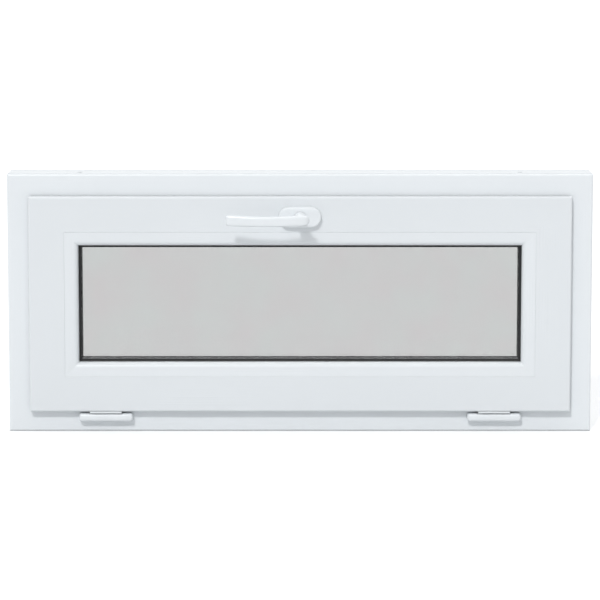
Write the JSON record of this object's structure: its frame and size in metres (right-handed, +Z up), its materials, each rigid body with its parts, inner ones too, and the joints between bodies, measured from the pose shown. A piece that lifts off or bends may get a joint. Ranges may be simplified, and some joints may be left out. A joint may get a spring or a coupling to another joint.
{
  "type": "bottom-hung casement window",
  "caption": "White plastic bottom-hung window: outer frame, double-glazed tilting sash, lever handle, hidden locking gear, capped hinges and side stays.",
  "frame": {"origin": "middle of the outer frame's underside: half its width, half its depth", "axes": "+X to the right as seen from the room, +Y from the room to the weather side, +Z up"},
  "size_m": [0.9, 0.147, 0.4],
  "materials": {
    "pvc_white": "extruded window plastic, satin",
    "handle_white": "white powder coat on metal, satin",
    "cover_white": "moulded plastic cap, satin",
    "seal_black": "matt",
    "zinc_steel": "zinc plated",
    "zinc_cast": "die-cast zinc, dark passivated",
    "glass_clear": "clear float",
    "spacer_grey": "anodised, matt",
    "edge_seal_black": "matt sealant",
    "packer_blue": "moulded",
    "nylon_white": "moulded"
  },
  "bodies": {
    "frame": {"frame_head": "pvc_white", "frame_sill": "pvc_white", "frame_jamb_left": "pvc_white", "frame_jamb_right": "pvc_white", "frame_reinforcement": "zinc_steel", "frame_seal": "seal_black", "keep_left": "zinc_cast", "keep_right": "zinc_cast", "keep_screws": "zinc_steel", "hinge_frame_leaf_left": "zinc_cast", "hinge_frame_leaf_right": "zinc_cast", "hinge_pin_left": "zinc_steel", "hinge_pin_right": "zinc_steel", "hinge_cover_left": "cover_white", "hinge_cover_right": "cover_white", "frame_leaf_screws": "zinc_steel", "stay_bracket_left": "zinc_cast", "stay_bracket_right": "zinc_cast", "stay_bracket_screws": "zinc_steel", "drain_caps": "cover_white"},
    "sash": {"sash_top_rail": "pvc_white", "sash_bottom_rail": "pvc_white", "sash_stile_left": "pvc_white", "sash_stile_right": "pvc_white", "sash_reinforcement": "zinc_steel", "sash_seal": "seal_black", "bead_top": "pvc_white", "bead_bottom": "pvc_white", "bead_left": "pvc_white", "bead_right": "pvc_white", "bead_gasket": "seal_black", "room_pane": "glass_clear", "weather_pane": "glass_clear", "glass_spacer": "spacer_grey", "glass_edge_seal": "edge_seal_black", "weather_gasket": "seal_black", "glazing_packers": "packer_blue", "gearbox_case": "zinc_cast", "lock_faceplate": "zinc_steel", "faceplate_screws": "zinc_steel", "handle_base": "zinc_cast", "handle_rosette": "handle_white", "handle_screws": "zinc_steel", "hinge_sash_leaf_left": "handle_white", "hinge_sash_leaf_right": "handle_white", "sash_leaf_screws": "zinc_steel", "stay_guide_left": "zinc_cast", "stay_guide_right": "zinc_cast", "stay_guide_screws": "zinc_steel"},
    "handle": {"handle_lever": "handle_white", "handle_spindle": "zinc_steel", "gear_pinion": "zinc_cast"},
    "lock_rod": {"drive_rod": "zinc_steel", "lock_cams": "zinc_cast"},
    "stay_arm_left": {"stay_arm_left": "zinc_steel", "stay_roller_left": "nylon_white"},
    "stay_arm_right": {"stay_arm_right": "zinc_steel", "stay_roller_right": "nylon_white"}
  },
  "joints": [
    {"name": "sash_tilt", "type": "hinge", "parent": "frame", "child": "sash", "pos_m": [0, -0.0425, 0.0232], "axis": [1, 0, 0], "range_deg": [0, 25]},
    {"name": "handle_turn", "type": "hinge", "parent": "sash", "child": "handle", "pos_m": [0, -0.06, 0.33589], "axis": [0, -1, 0], "range_deg": [0, 90]},
    {"name": "rod_slide", "type": "slide", "parent": "sash", "child": "lock_rod", "axis": [-1, 0, 0], "range_m": [0, 0.01179]},
    {"name": "stay_left_swing", "type": "hinge", "parent": "frame", "child": "stay_arm_left", "pos_m": [-0.405, -0.0275, 0.1716], "axis": [1, 0, 0], "range_deg": [0, 50.1]},
    {"name": "stay_right_swing", "type": "hinge", "parent": "frame", "child": "stay_arm_right", "pos_m": [0.405, -0.0275, 0.1716], "axis": [1, 0, 0], "range_deg": [0, 50.1]}
  ],
  "couplings": [
    {"joint": "rod_slide", "follows": "handle_turn", "m_per_rad": 0.0075},
    {"joint": "stay_left_swing", "follows": "sash_tilt", "ratio": 2},
    {"joint": "stay_right_swing", "follows": "sash_tilt", "ratio": 2}
  ]
}
